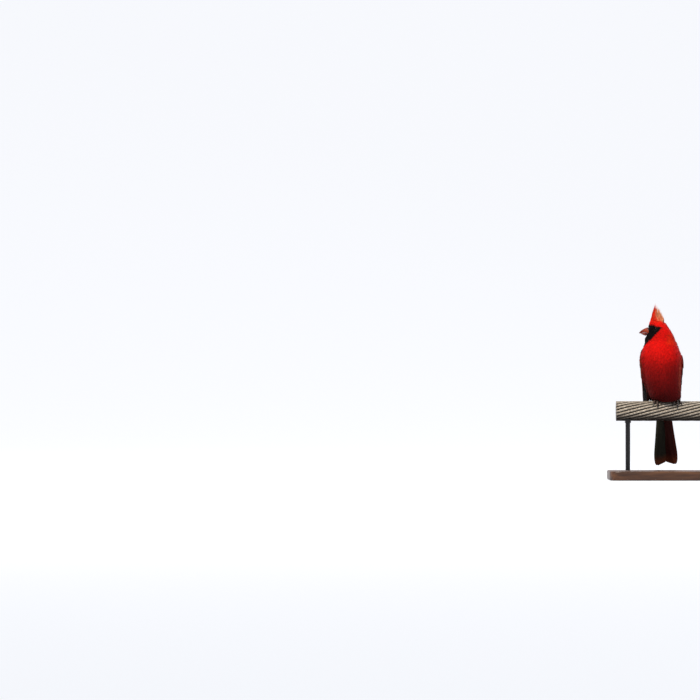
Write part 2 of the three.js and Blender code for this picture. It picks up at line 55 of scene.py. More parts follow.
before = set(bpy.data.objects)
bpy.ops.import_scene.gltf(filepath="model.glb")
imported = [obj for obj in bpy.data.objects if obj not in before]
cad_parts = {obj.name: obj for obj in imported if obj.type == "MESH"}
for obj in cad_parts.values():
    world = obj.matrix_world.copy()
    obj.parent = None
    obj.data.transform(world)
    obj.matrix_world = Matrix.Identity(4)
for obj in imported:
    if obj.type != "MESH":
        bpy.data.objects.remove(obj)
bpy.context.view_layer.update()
rng = np.random.default_rng(SEED)


def linear(code):
    """An sRGB hex colour as linear red, green and blue."""
    parts = [int(code[i : i + 2], 16) / 255 for i in (0, 2, 4)]
    return np.array([c / 12.92 if c <= 0.04045 else ((c + 0.055) / 1.055) ** 2.4 for c in parts])


def mm(*xyz):
    """Millimetres over the strand's axis as a point in metres."""
    return Vector((xyz[0], xyz[1], xyz[2] + STRAND_HEIGHT)) * 0.001


def lerp(a, b, t):
    return a + (b - a) * t


def smooth(low, high, x):
    t = np.clip((x - low) / (high - low), 0, 1)
    return t * t * (3 - 2 * t)


# Camera and stage
PIXEL = 1.276  # millimetres a pixel of the photo, at the strand
PHOTO_WIDTH = 700  # pixels
OFF_CENTRE = (317, 61)  # pixels from the photo's middle to the strand's middle, right and down
CAMERA_DISTANCE = 8.0  # metres, far enough for the photo's flat, long-lens view
SENSOR = 36
camera = bpy.data.objects.new("camera", bpy.data.cameras.new("camera"))
bpy.context.scene.collection.objects.link(camera)
bpy.context.scene.camera = camera
camera.location = Vector((-OFF_CENTRE[0] * PIXEL, 0, STRAND_HEIGHT + OFF_CENTRE[1] * PIXEL)) / 1000
camera.location.y = -CAMERA_DISTANCE
camera.rotation_euler = (math.pi / 2, 0, 0)
camera.data.sensor_width = SENSOR
camera.data.lens = SENSOR * CAMERA_DISTANCE / (PHOTO_WIDTH * PIXEL / 1000)
camera.data.clip_end = 60
bpy.context.scene.view_settings.view_transform = "Standard"


# Materials
def new_material(name, colour, roughness, metallic=0.0, **shader):
    """A plain material. Further words are the shader's own sockets."""
    made = bpy.data.materials.new(name)
    made.use_nodes = True
    surface = made.node_tree.nodes["Principled BSDF"]
    surface.inputs["Base Color"].default_value = (*linear(colour), 1)
    surface.inputs["Roughness"].default_value = roughness
    surface.inputs["Metallic"].default_value = metallic
    for key, value in shader.items():
        surface.inputs[key.replace("_", " ")].default_value = value
    return made


def socket_of(source):
    """A node stands for its first output."""
    return source.outputs[0] if hasattr(source, "outputs") else source


def add(made, kind, links=None, **settings):
    """A shader node of that kind. Settings are its properties or its sockets' values, with _3 for the
    socket numbered 3, and links feed its sockets."""
    nodes, tree = made.node_tree.nodes, made.node_tree
    new = nodes.new("ShaderNode" + kind)
    for key, value in settings.items():
        if key in new.inputs:
            new.inputs[key].default_value = value
        elif hasattr(new, key):
            setattr(new, key, value)
        else:
            new.inputs[int(key.strip("_"))].default_value = value
    for key, source in (links or {}).items():
        tree.links.new(socket_of(source), new.inputs[key])
    return new


def feed(made, socket, source):
    surface = made.node_tree.nodes["Principled BSDF"]
    made.node_tree.links.new(socket_of(source), surface.inputs[socket])


def stops(ramp, *colours):
    """Sets a colour ramp's stops, each (position, hex colour)."""
    while len(ramp.color_ramp.elements) < len(colours):
        ramp.color_ramp.elements.new(0.5)
    for element, (at, code) in zip(ramp.color_ramp.elements, colours):
        element.position = at
        element.color = (*linear(code), 1)


def plumage_material(name, roughness, streak, bump):
    """Dull feather in the mesh's own tint, with fine light and dark mottling, streak specks to the metre."""
    made = new_material(name, "8a1410", roughness, Sheen_Weight=0.03, Sheen_Roughness=0.4,
                        Specular_IOR_Level=0.1)
    tint = add(made, "Attribute", attribute_name="tint")
    where = add(made, "TexCoord")
    fine = add(made, "TexNoise", {"Vector": where.outputs["Object"]}, Scale=streak, Detail=3.0)
    span = add(made, "MapRange", {"Value": fine}, _3=0.78, _4=1.2)
    feed(made, "Base Color", add(made, "VectorMath", {0: tint, 1: span}, operation="MULTIPLY"))
    if bump:
        raised = add(made, "Bump", {"Height": fine}, Strength=bump, Distance=0.0002)
        feed(made, "Normal", raised)
    return made


# Down under the coat is dull and mottled at about 1 mm. Body feathers look soft, and flight feathers are
# smoother, with mottling up to 2 mm, and catch a little more light.
SKIN = plumage_material("down_under_coat", 0.9, 900.0, 0.3)
BODY_FEATHER = plumage_material("soft_body_feather", 0.8, 700.0, 0.0)
QUILL_FEATHER = plumage_material("flight_feather", 0.62, 500.0, 0.0)


BARB_BANDS = 70.0  # along a vane, about 1 mm each. Real barbs are finer than the render can show.


def barbed(made):
    """Adds a flight feather's slanted barbs and its dark shaft, from its vane's own UV map."""
    uv = add(made, "UVMap", uv_map="Vane")
    axes = add(made, "SeparateXYZ", {"Vector": uv.outputs["UV"]})
    away = add(made, "Math", {0: axes.outputs["X"]}, operation="ABSOLUTE")
    slant = add(made, "Math", {0: away}, operation="MULTIPLY", _1=-0.8)
    along = add(made, "Math", {0: axes.outputs["Y"], 1: slant}, operation="ADD")
    barbs = add(made, "TexNoise", {"W": along}, noise_dimensions="1D", Scale=BARB_BANDS, Detail=3.0)
    raised = add(made, "Bump", {"Height": barbs}, Strength=0.3, Distance=0.0002)
    feed(made, "Normal", raised)
    span = add(made, "MapRange", {"Value": barbs}, _1=0.3, _2=0.7, _3=0.74, _4=1.2)
    shaft = add(made, "MapRange", {"Value": away}, _1=0.002, _2=0.007, _3=0.45, _4=1.0)
    shade = add(made, "Math", {0: span, 1: shaft}, operation="MULTIPLY")
    colour = made.node_tree.nodes["Principled BSDF"].inputs["Base Color"].links[0].from_socket
    streaked = add(made, "VectorMath", {0: colour, 1: shade}, operation="MULTIPLY")
    feed(made, "Base Color", streaked)


barbed(QUILL_FEATHER)

# Horn of the bill: coral orange clouded with darker brown in patches of about 4 mm, with a soft sheen
BILL = new_material("coral_bill_horn", "c4492b", 0.4, Specular_IOR_Level=0.3)
where = add(BILL, "TexCoord")
cloud = add(BILL, "TexNoise", {"Vector": where.outputs["Object"]}, Scale=260.0, Detail=4.0)
hue = add(BILL, "ValToRGB", {"Fac": cloud})
stops(hue, (0.3, "4c1208"), (0.52, "8a2c12"), (0.75, "b44c28"))
feed(BILL, "Base Color", hue)
grain = add(BILL, "Bump", {"Height": cloud}, Strength=0.12, Distance=0.0002)
feed(BILL, "Normal", grain)

# Wet dark eye, almost black with one small bright glint, and its dull dark lid
EYE = new_material("dark_brown_eye", "0c0504", 0.04, Specular_IOR_Level=0.06)
LID = new_material("eyelid_skin", "0c0706", 0.7, Specular_IOR_Level=0.2)

# Scaly leg skin, dull brown mottled at 2 mm, and dark claws that shine a little
LEG = new_material("leg_scales", "5a3a30", 0.55)
where = add(LEG, "TexCoord")
mottle = add(LEG, "TexNoise", {"Vector": where.outputs["Object"]}, Scale=500.0, Detail=4.0)
hue = add(LEG, "ValToRGB", {"Fac": mottle})
stops(hue, (0.3, "1e1410"), (0.7, "4c3228"))
feed(LEG, "Base Color", hue)
CLAW = new_material("dark_claw_horn", "1d1512", 0.35)

# Weathered galvanised wire: pale grey zinc mottled at 2 to 3 mm, painted shade in the grooves between the
# wires, bright cut ends, and painted shade in dark brown along the underside
WIRE = new_material("weathered_zinc_wire", "a39c90", 0.5, 0.3, Specular_IOR_Level=0.2)
where = add(WIRE, "TexCoord")
patch = add(WIRE, "TexNoise", {"Vector": where.outputs["Object"]}, Scale=420.0, Detail=6.0)
zinc = add(WIRE, "ValToRGB", {"Fac": patch})
stops(zinc, (0.3, "8a8174"), (0.5, "aca293"), (0.7, "cdc4b4"))
axes = add(WIRE, "SeparateXYZ", {"Vector": where.outputs["Object"]})
# Painted shade: below these heights the strand's underside turns dark brown
UNDERSIDE_SHADE_STARTS, UNDERSIDE_SHADE_FULL = 0.0835, 0.0775  # heights over the floor, in metres
under = add(WIRE, "MapRange", {"Value": axes.outputs["Z"]}, _1=UNDERSIDE_SHADE_STARTS, _2=UNDERSIDE_SHADE_FULL, _3=0.0, _4=0.95)
underside_shade = add(WIRE, "Mix", {"Factor": under, 6: zinc}, data_type="RGBA")
underside_shade.inputs[7].default_value = (*linear("1a0c06"), 1)
middle = add(WIRE, "Mapping", {"Vector": where.outputs["Object"]})
middle.inputs["Location"].default_value = (0, 0, -STRAND_HEIGHT / 1000)
middle.inputs["Scale"].default_value = (0, 1, 1)
reach = add(WIRE, "VectorMath", {0: middle}, operation="LENGTH")
# Painted shade in the grooves: dark where the wires sink towards the axis, and full brightness only at each
# wire's crest
GROOVE_FLOOR, WIRE_TOP = 0.0119, 0.0125  # from the strand's axis, in metres
groove_shade = add(WIRE, "MapRange", {"Value": reach.outputs["Value"]}, _1=GROOVE_FLOOR, _2=WIRE_TOP,
             _3=0.06, _4=1.0)
facing = add(WIRE, "NewGeometry")
ends = add(WIRE, "VectorMath", {0: facing.outputs["True Normal"]}, operation="ABSOLUTE")
cut = add(WIRE, "SeparateXYZ", {"Vector": ends})
clean = add(WIRE, "Math", {0: cut.outputs["X"]}, operation="MULTIPLY", _1=0.6)
bright = add(WIRE, "Math", {0: clean, 1: groove_shade}, operation="MAXIMUM")
shaded_zinc = add(WIRE, "VectorMath", {0: underside_shade.outputs[2], 1: bright}, operation="MULTIPLY")
feed(WIRE, "Base Color", shaded_zinc)
pits = add(WIRE, "Bump", {"Height": patch}, Strength=0.25, Distance=0.0003)
feed(WIRE, "Normal", pits)

# Oiled walnut base, dark brown with long streaked grain and a dull shine, and smooth black lacquered rods
WALNUT = new_material("oiled_walnut", "4a2c1a", 0.42)
where = add(WALNUT, "TexCoord")
stretch = add(WALNUT, "Mapping", {"Vector": where.outputs["Object"]})
stretch.inputs["Scale"].default_value = (6, 60, 60)
rings = add(WALNUT, "TexNoise", {"Vector": stretch}, Scale=3.0, Detail=8.0, Distortion=0.6)
hue = add(WALNUT, "ValToRGB", {"Fac": rings})
stops(hue, (0.3, "2c180d"), (0.5, "4d2f1c"), (0.68, "6b4529"))
feed(WALNUT, "Base Color", hue)
LACQUER = new_material("black_lacquered_steel", "0d0d0e", 0.3, 0.3)

# Matt paper sweep behind the object, which glows a little, so that it looks as evenly white as the photo
PAPER = new_material("matt_backdrop_paper", "85868a", 0.95, Emission_Strength=0.88)
PAPER.node_tree.nodes["Principled BSDF"].inputs["Emission Color"].default_value = (*linear("f4f6fa"), 1)


# Meshes
def show(name, mesh, material, replaced=(), is_stage=False):
    """Links a mesh as a piece that rides with the part, or as stage that doesn't light it."""
    piece = bpy.data.objects.new(name, mesh)
    bpy.context.scene.collection.objects.link(piece)
    mesh.materials.clear()
    mesh.materials.append(material)
    if is_stage:
        piece.visible_diffuse = False
        return
    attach(piece, "root")
    if replaced:
        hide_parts(*replaced)


def mesh_from(name, points, faces):
    mesh = bpy.data.meshes.new(name)
    mesh.from_pydata([tuple(p) for p in points], [], [tuple(int(i) for i in f) for f in faces])
    mesh.shade_smooth()
    mesh.update()
    return mesh


def paint(mesh, colours):
    """Gives each vertex of a mesh its tint."""
    tint = np.ones((len(mesh.vertices), 4))
    tint[:, :3] = colours
    mesh.color_attributes.new("tint", "FLOAT_COLOR", "POINT").data.foreach_set("color", tint.ravel())


def above_strand(points):
    """Millimetres over the strand's axis."""
    return points[:, 2] * 1000 - STRAND_HEIGHT


def moulded(sides, rings, place):
    """Points and faces of a closed tube. place gets the share along, the angle round and 0 or 1 for the axis
    or the rim."""
    points, faces = [], []
    for ring in range(rings + 1):
        for side in range(sides):
            points.append(place(ring / rings, 2 * math.pi * side / sides, 1))
    for ring in range(rings):
        for side in range(sides):
            a, b = ring * sides + side, ring * sides + (side + 1) % sides
            faces.append((a, b, b + sides, a + sides))
    first, last = len(points), len(points) + 1
    points += [place(0, 0, 0), place(1, 0, 0)]
    for side in range(sides):
        following = (side + 1) % sides
        faces.append((first, following, side))
        faces.append((last, rings * sides + side, rings * sides + following))
    return points, faces


def gather(parts):
    """Joins lists of points and faces."""
    points, faces = [], []
    for more_points, more_faces in parts:
        start = len(points)
        points.extend(more_points)
        faces.extend(tuple(i + start for i in face) for face in more_faces)
    return points, faces


# The mantle's level slices, as in the solids: height, left, right, front, back and turn
MANTLE = np.array([
    (-14, -24.5, 10, 6, 39, BODY_TURN),
    (5, -28.6, 16, -4, 37, BODY_TURN),
    (17, -30.2, 18, -12, 35, BODY_TURN),
    (28, -30.8, 19, -22, 33.4, BODY_TURN),
    (41, -31.6, 19, -29.4, 30.2, BODY_TURN),
    (54, -32.9, 19.5, -30.8, 27.2, BODY_TURN),
    (65, -33.9, 19.6, -30.2, 23.6, BODY_TURN),
    (73, -33.4, 18.3, -28.2, 20, BODY_TURN),
    (81, -30.8, 15.4, -24.4, 15.6, 4),
    (88, -29, 12.6, -21, 12, -3),
], float)


def slice_at(table, z):
    """A slice at any height, on a smooth curve through the stations."""
    last = len(table) - 1
    i = int(np.clip(np.searchsorted(table[:, 0], z) - 1, 0, last - 1))
    a, b = table[i], table[i + 1]
    before, after = table[max(i - 1, 0)], table[min(i + 2, last)]
    step = b[0] - a[0]
    t = min(max((z - a[0]) / step, 0), 1)
    slope_in = (b - before) / (b[0] - before[0]) * step
    slope_out = (after - a) / (after[0] - a[0]) * step
    t2, t3 = t * t, t * t * t
    start = (2 * t3 - 3 * t2 + 1) * a + (t3 - 2 * t2 + t) * slope_in
    return start + (3 * t2 - 2 * t3) * b + (t3 - t2) * slope_out


def wing_point(side, y, z, out):
    """A point on the folded wing of one side, out from the mantle."""
    _, left, right, front, back, turn = slice_at(MANTLE, z)
    middle = Vector(((left + right) / 2, (front + back) / 2, 0))
    rise = min(max((y - middle.y) / ((back - front) / 2), -0.98), 0.98)
    angle = math.asin(rise) if side > 0 else math.pi - math.asin(rise)
    across, deep = (right - left) / 2 + out, (back - front) / 2 + out
    rim = Vector((across * math.cos(angle), deep * math.sin(angle), 0))
    rim = Matrix.Rotation(math.radians(turn), 3, "Z") @ rim + middle
    return mm(rim.x, rim.y, z)


# Head frame: ahead is towards the bill, and beside is to the bird's left
EYE_RADIUS = 4.0
EYE_FORWARD = -1.4  # of each eye's centre from the point between the eyes
EYE_SIDEWAYS = 8.3
LID_RADIUS = 2.9  # of the opening between the lids
AHEAD = Vector((-math.cos(math.radians(HEAD_TURN)), -math.sin(math.radians(HEAD_TURN)), 0))
BESIDE = Vector((0, 0, 1)).cross(AHEAD)


def middle_of_eyes():
    """Midway between the eyes, from the two eye nodes."""
    centres = []
    for node in ("eye_left", "eye_right"):
        low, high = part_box(node)
        centres.append((Vector(low) + Vector(high)) / 2)
    return (centres[0] + centres[1]) / 2 - AHEAD * EYE_FORWARD / 1000


MIDDLE = middle_of_eyes()


def head_point(forward, sideways, up):
    return MIDDLE + (AHEAD * forward + BESIDE * sideways + Vector((0, 0, up))) * 0.001


def head_frame(points):
    """Points in metres as millimetres ahead of, beside and above the eyes' middle."""
    away = (np.asarray(points) - np.array(MIDDLE)) * 1000
    return away @ np.array(AHEAD), away @ np.array(BESIDE), away[:, 2]


def eye_axis(side):
    return (AHEAD * 0.45 + BESIDE * 0.88 * side + Vector((0, 0, 0.12))).normalized()


def eye_centre(side):
    return head_point(EYE_FORWARD, side * EYE_SIDEWAYS, 0)


# The plumage's colours. The darkest red stands for painted shade on the lower belly.
SCARLET, CRIMSON, BELLY_SHADE_RED = linear("dc0c04"), linear("920604"), linear("3c0203")
ORANGE_RED, MASK_BLACK, BACK_GREY = linear("dc3408"), linear("070203"), linear("6a3026")
TAN, DUSK, WING_EDGE = linear("e0a878"), linear("17110f"), linear("8c3410")
RUST_ORANGE, FRINGE_GREY = linear("b0400c"), linear("8d7468")


def mix(a, b, share):
    share = np.asarray(share)[..., None]
    return a * (1 - share) + b * share


def plumage(points, normals):
    """The plumage's colour at points on the body, which skin and coat share."""
    points = np.asarray(points)
    z = above_strand(points)
    facing_back = np.asarray(normals)[:, 1]
    # Red deepens from the bright head down to the belly. The crimson below is partly the plumage's own tone
    # and partly painted shade, and the near-black red on the lower belly is painted shade.
    colour = mix(CRIMSON, SCARLET, smooth(50, 92, z))
    colour = mix(colour, BELLY_SHADE_RED, 0.75 * (1 - smooth(18, 62, z)))
    colour = mix(colour, BACK_GREY, 0.55 * smooth(0.15, 0.75, facing_back) * (1 - smooth(84, 100, z)))
    flushed = smooth(12, 17, points[:, 0] * 1000) * smooth(22, 40, z) * (1 - smooth(66, 80, z))
    colour = mix(colour, RUST_ORANGE, 0.5 * flushed * (1 - smooth(-0.5, 0.0, facing_back)))
    neck = smooth(-6, 0, points[:, 0] * 1000) * smooth(86, 92, z) * (1 - smooth(97, 104, z))
    colour = mix(colour, ORANGE_RED, 0.5 * neck)
    forward, _, up = head_frame(points)
    colour = mix(colour, ORANGE_RED, 0.45 * smooth(4, 12, up) * smooth(80, 100, z))
    top = 4.6 - 0.25 * np.clip(4 - forward, 0, None)
    low = -11.5 - 0.65 * np.clip(forward - 6, 0, 8)
    rear = np.interp(up, [-16, -11, -3, 1.8, 4.6], [9.6, 5.6, -3.2, -7.4, -4.4])
    mask = smooth(-0.8, 0.8, top - up) * smooth(-0.8, 0.8, up - low) * smooth(-0.8, 0.8, forward - rear)
    return mix(colour, MASK_BLACK, mask)


# Skin: torso, neck, head and the tail's root as one, inside the coat
def tail_axes():
    root, end = mm(-4.6, 22.5, 31), mm(0.9, 42, -67.6)
    down = (end - root).normalized()
    over = Vector((1, 0.08, 0))
    over = (over - down * over.dot(down)).normalized()
    out = over.cross(down)
    if out.y < 0:
        out.negate()
    return root, down, over, out


TAIL_ROOT, TAIL_DOWN, TAIL_OVER, TAIL_OUT = tail_axes()


def tail_point(down, over, out):
    return TAIL_ROOT + (TAIL_DOWN * down + TAIL_OVER * over + TAIL_OUT * out) * 0.001


# The tail coverts' slices: distance down the tail, half width and half depth
COVERTS = np.array([
    (-6, 15, 8.5), (8, 16.4, 8.6), (20, 15, 7.6), (32, 11, 5.4), (43, 8, 3.2), (51, 5, 1.6),
], float)


def tail_root():
    """The tail coverts' form, drawn in to lie under the coat."""
    inset = 0.8

    def place(share, angle, rim):
        down, over, out = slice_at(COVERTS, lerp(COVERTS[0, 0], COVERTS[-1, 0] - 2 * inset, share))
        over, out = max(over - inset, 1), max(out - inset, 0.8)
        return tail_point(down, rim * over * math.cos(angle), rim * out * math.sin(angle))

    return moulded(28, 14, place)


def evaluated(points, faces, *modifiers):
    """A mesh after the modifiers, each (type, settings)."""
    source = bpy.data.objects.new("working", mesh_from("working", points, faces))
    bpy.context.scene.collection.objects.link(source)
    for kind, settings in modifiers:
        modifier = source.modifiers.new(kind, kind)
        for key, value in settings.items():
            setattr(modifier, key, value)
    shaped = bpy.data.meshes.new_from_object(source.evaluated_get(bpy.context.evaluated_depsgraph_get()))
    bpy.data.objects.remove(source)
    return shaped


def node_shape(name, grow=0.0):
    """A node's points, moved out along their normals, and its faces."""
    work = bmesh.new()
    work.from_mesh(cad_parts[name].data)
    bmesh.ops.transform(work, matrix=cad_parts[name].matrix_world, verts=work.verts)
    bmesh.ops.remove_doubles(work, verts=work.verts, dist=1e-6)
    work.normal_update()
    points = [v.co + v.normal * grow for v in work.verts]
    faces = [tuple(v.index for v in f.verts) for f in work.faces]
    work.free()
    return points, faces


def socket_filling(side):
    """A ball that closes the eye's socket behind it."""
    radius, set_back = 0.0044, 0.0003

    def place(share, angle, rim):
        a = math.pi * share
        out = Vector((math.cos(angle), math.sin(angle), 0)) * math.sin(a) * rim + Vector((0, 0, math.cos(a)))
        return eye_centre(side) - eye_axis(side) * set_back + out * radius

    return moulded(24, 16, place)


def make_skin():
    """Torso, neck, head and tail coverts grown into one skin, then drawn in by the coat's depth."""
    grow = 0.0004
    flesh = [node_shape(name, grow) for name in ("torso", "neck", "head")]
    flesh += [tail_root(), socket_filling(1), socket_filling(-1)]
    mesh = evaluated(
        *gather(flesh),
        ("REMESH", {"mode": "VOXEL", "voxel_size": 0.0008}),
        ("SMOOTH", {"factor": 0.5, "iterations": 10}),
    )
    points = np.array([v.co for v in mesh.vertices])
    normals = np.array([v.normal for v in mesh.vertices])
    forward, _, up = head_frame(points)
    on_face = smooth(-6, 4, forward) * smooth(-14, -6, up)
    depth = 0.001 * lerp(COAT_DEPTH, FACE_DEPTH, on_face) + grow
    points -= normals * depth[:, None]
    mesh.vertices.foreach_set("co", points.ravel())
    mesh.update()
    mesh.shade_smooth()
    paint(mesh, plumage(points, normals) * 0.6)
    return mesh


skin_mesh = make_skin()
show("skin", skin_mesh, SKIN, ("torso", "neck", "head"))
skin_tree = BVHTree.FromPolygons([v.co for v in skin_mesh.vertices],
                                 [tuple(p.vertices) for p in skin_mesh.polygons])


# Coat: small body feathers as tufts of barbs
def barb_template(pairs, ragged=0.06):
    """A feather seen flat: pairs of barbs that fan out from its quill. Gives along, across and faces."""
    along, across, faces = [], [], []
    count = 2 * pairs + 1
    for k in range(count):
        lean = (k - pairs) / max(pairs, 1)
        end = 1 - 0.42 * abs(lean) ** 1.7 + ragged * ((k * 37) % 5 - 2) / 2
        base = 0.3 * lean
        wide = 1.25 / count
        start = len(along)
        for share, width in ((0.0, 0.7), (0.45, 1.15), (0.8, 0.8)):
            centre = lerp(base, lean * 0.92, share**0.7)
            along += [end * share] * 2
            across += [centre - wide * width, centre + wide * width]
        along.append(end)
        across.append(lean)
        for a in (start, start + 2):
            faces += [(a, a + 3, a + 1), (a, a + 2, a + 3)]
        faces.append((start + 4, start + 6, start + 5))
    return np.array(along), np.array(across), np.array(faces)


def nearest(points):
    """The nearest points on the skin, and its normals there."""
    found = [skin_tree.find_nearest(Vector(p)) for p in points]
    return np.array([f[0] for f in found]), np.array([f[1] for f in found])


PATCH_SIZE = 0.003  # of one tuft in the OFBake map


def unit(vectors):
    return vectors / np.maximum(np.linalg.norm(vectors, axis=1, keepdims=True), 1e-9)


def barbed_mesh(name, template, points, up, colour, place, soften=0.65):
    """One mesh of many feathers of a template, with a tint at each point. place is each feather's patch in
    the OFBake map, and soften turns the shading from each barb's own way to the whole feather's."""
    along, across, faces = template
    count, size = points.shape[:2]
    triangles = (faces[None] + (np.arange(count) * size)[:, None, None]).reshape(-1, 3)
    mesh = bpy.data.meshes.new(name)
    mesh.vertices.add(count * size)
    mesh.vertices.foreach_set("co", points.reshape(-1).astype(np.float32))
    mesh.loops.add(len(triangles) * 3)
    mesh.loops.foreach_set("vertex_index", triangles.reshape(-1).astype(np.int32))
    mesh.polygons.add(len(triangles))
    mesh.polygons.foreach_set("loop_start", np.arange(0, len(triangles) * 3, 3, dtype=np.int32))
    mesh.update(calc_edges=True)
    mesh.validate()
    mesh.shade_smooth()
    paint(mesh, np.broadcast_to(colour, (count, size, 3)).reshape(-1, 3))
    patch = place[:, None] + PATCH_SIZE * np.stack([across / 2, along - 0.5], axis=1)[None]
    corners = patch.reshape(-1, 2)[triangles.reshape(-1)]
    mesh.uv_layers.new(name="OFBake").data.foreach_set("uv", corners.reshape(-1))
    up = up.reshape(-1, 3)
    flat = np.array([v.normal for v in mesh.vertices])
    flat *= np.sign(np.sum(flat * up, axis=1))[:, None] + 1e-6
    mesh.normals_split_custom_set_from_vertices(unit(flat * (1 - soften) + up * soften).tolist())
    return mesh


def lying_tufts(template, roots, normals, aims, length, width, lift):
    """Points of tufts that bend with the skin under them, and the way up at each."""
    root_height, cupping = 0.00015, 0.09
    along, across, _ = template
    count, size = len(roots), len(along)
    side = unit(np.cross(normals, aims))
    middle, _ = nearest(roots + aims * length[:, None] * 0.5)
    end, end_normal = nearest(roots + aims * length[:, None])
    middle = 2 * middle - (roots + end) / 2
    a = along[None, :, None]
    path = (1 - a) ** 2 * roots[:, None] + 2 * a * (1 - a) * middle[:, None] + a * a * end[:, None]
    up = unit((normals[:, None] * (1 - a) + end_normal[:, None] * a).reshape(-1, 3)).reshape(count, size, 3)
    over = width[:, None, None] * across[None, :, None]
    raised = root_height + lift[:, None, None] * a**1.15 - cupping * over * across[None, :, None]
    return path + side[:, None] * over / 2 + up * raised, up


def free_plumes(template, roots, tips, normals, width, taper, dish=0.0006, bow=0.0):
    """Points of plumes from roots to tips, and the way up at each. dish cups a plume and bow arches it."""
    along, across, _ = template
    a = along[None, :, None]
    aims = tips - roots
    normals = unit(normals - unit(aims) * np.sum(unit(aims) * normals, axis=1)[:, None])
    side = np.cross(normals, unit(aims))
    arch = np.broadcast_to(bow, len(roots))[:, None, None] * 4 * a * (1 - a)
    points = roots[:, None] + aims[:, None] * a + normals[:, None] * arch
    points = points + side[:, None] * (width[:, None, None] / 2 * across[None, :, None]) * (1 - taper * a)
    points = points + normals[:, None] * (dish * (1 - across**2))[None, :, None]
    return points, np.repeat(normals[:, None], len(along), axis=1)


def scatter(spacing, tries):
    """Roots spread over the skin at least spacing(points) apart, with their normals."""
    skin_mesh.calc_loop_triangles()
    corners = np.array([t.vertices for t in skin_mesh.loop_triangles])
    points = np.array([v.co for v in skin_mesh.vertices])
    normals = np.array([v.normal for v in skin_mesh.vertices])
    a, b, c = (points[corners[:, k]] for k in range(3))
    area = np.linalg.norm(np.cross(b - a, c - a), axis=1)
    chosen = rng.choice(len(corners), tries, p=area / area.sum())
    u, v = rng.random(tries), rng.random(tries)
    flip = u + v > 1
    u[flip], v[flip] = 1 - u[flip], 1 - v[flip]
    weights = np.stack([1 - u - v, u, v], axis=1)[:, :, None]
    at = (points[corners[chosen]] * weights).sum(axis=1)
    facing = unit((normals[corners[chosen]] * weights).sum(axis=1))
    apart = spacing(at)
    cell = apart.max()
    around = list(itertools.product((-1, 0, 1), repeat=3))
    grid, kept = {}, []

    def crowded(i, key):
        near = (j for step in around for j in grid.get(tuple(k + d for k, d in zip(key, step)), ()))
        return any((at[i] - at[j]) @ (at[i] - at[j]) < min(apart[i], apart[j]) ** 2 for j in near)

    for i, p in enumerate(at):
        key = tuple((p // cell).astype(int))
        if not crowded(i, key):
            grid.setdefault(key, []).append(i)
            kept.append(i)
    return at[kept], facing[kept]


BILL_BASE = head_point(9.5, 0, -4)
# The ground that the folded wing covers, as (y, z) in the body's turned frame
WING_HULL = [(3, 66), (5, 73), (10, 74), (17, 62), (22, 47), (25, 32), (14, 34), (7, 48)]


def inside(polygon, y, z):
    """Which of the points lie inside the polygon."""
    hit = np.zeros(len(y), bool)
    for i, (y1, z1) in enumerate(polygon):
        y2, z2 = polygon[i - 1]
        crosses = (z1 > z) != (z2 > z)
        hit ^= crosses & (y < (y2 - y1) * (z - z1) / ((z2 - z1) or 1e-9) + y1)
    return hit


def body_depth(points):
    """Millimetres towards the back in the body's own turned frame."""
    turned = math.radians(-BODY_TURN)
    return points[:, 0] * 1000 * math.sin(turned) + points[:, 1] * 1000 * math.cos(turned)


def bare(points):
    """Where no tuft grows: on the eyes, inside the bill and under the wings."""
    lid_level = 0.003  # ahead of the eye's centre
    forward, beside, up = head_frame(points)
    hidden = np.zeros(len(points), bool)
    for side in (1, -1):
        open_eye = np.array(eye_centre(side) + eye_axis(side) * lid_level)
        hidden |= np.linalg.norm(points - open_eye, axis=1) < LID_RADIUS / 1000
    hidden |= (forward > 7.5) & (((up + 3.8) / 6.2) ** 2 + (beside / 5.4) ** 2 < 1)
    z = above_strand(points)
    hidden |= inside(WING_HULL, body_depth(points), z)
    return hidden


def lie_of(points, normals):
    """The way feathers point: away from the bill on the head, and down and back on the body."""
    wander = 0.09
    z = above_strand(points)
    away = unit(points - np.array(BILL_BASE))
    away[:, 2] += 0.25 * smooth(104, 112, z)
    down = np.tile([0.0, 0.12, -1.0], (len(points), 1))
    down[:, 1] += 1.4 * (1 - smooth(14, 34, z))
    on_head = smooth(84, 100, z)[:, None]
    aim = unit(away) * on_head + down * (1 - on_head)
    _, beside, up = head_frame(points)
    inward = -np.clip(beside / 5, -1, 1) * smooth(4.5, 7.5, up) * 0.6
    aim += inward[:, None] * np.array(BESIDE) + rng.normal(0, wander, aim.shape)
    return unit(aim - normals * np.sum(aim * normals, axis=1)[:, None])


def head_share(points):
    """0 on the body and 1 on the head."""
    return smooth(80, 98, above_strand(points))


def face_share(points):
    """0 on the rest of the head and 1 on the face."""
    forward, _, up = head_frame(points)
    return smooth(-10, -2, forward) * smooth(-16, -8, up)


def flank_share(points):
    """Where the breast's side feathers lie over the front edge of the folded wing."""
    z = above_strand(points)
    y = body_depth(points)
    past = y - np.interp(z, [20, 30, 45, 59, 70], [14, 10, 2, -3, -5])
    return smooth(-9, -1, past) * (1 - smooth(1, 5, past)) * smooth(18, 30, z) * (1 - smooth(76, 84, z))


def unwrap(points):
    """Places on an unwrap of the skin: round the body's own leaning axis, and up it."""
    z = above_strand(points)
    axis_x = np.interp(z, [-30, 20, 60, 88, 104, 120], [-2, -2, -7.5, -8, -11, -12])
    axis_y = np.interp(z, [-30, 12, 40, 70, 90, 120], [38, 8, 1, -4, -5, -6])
    angle = np.arctan2(points[:, 1] * 1000 - axis_y, points[:, 0] * 1000 - axis_x)
    lowest, reach = -30, 160
    return 0.01 + 0.98 * np.stack([angle / (2 * math.pi) + 0.5, (z - lowest) / reach], axis=1)


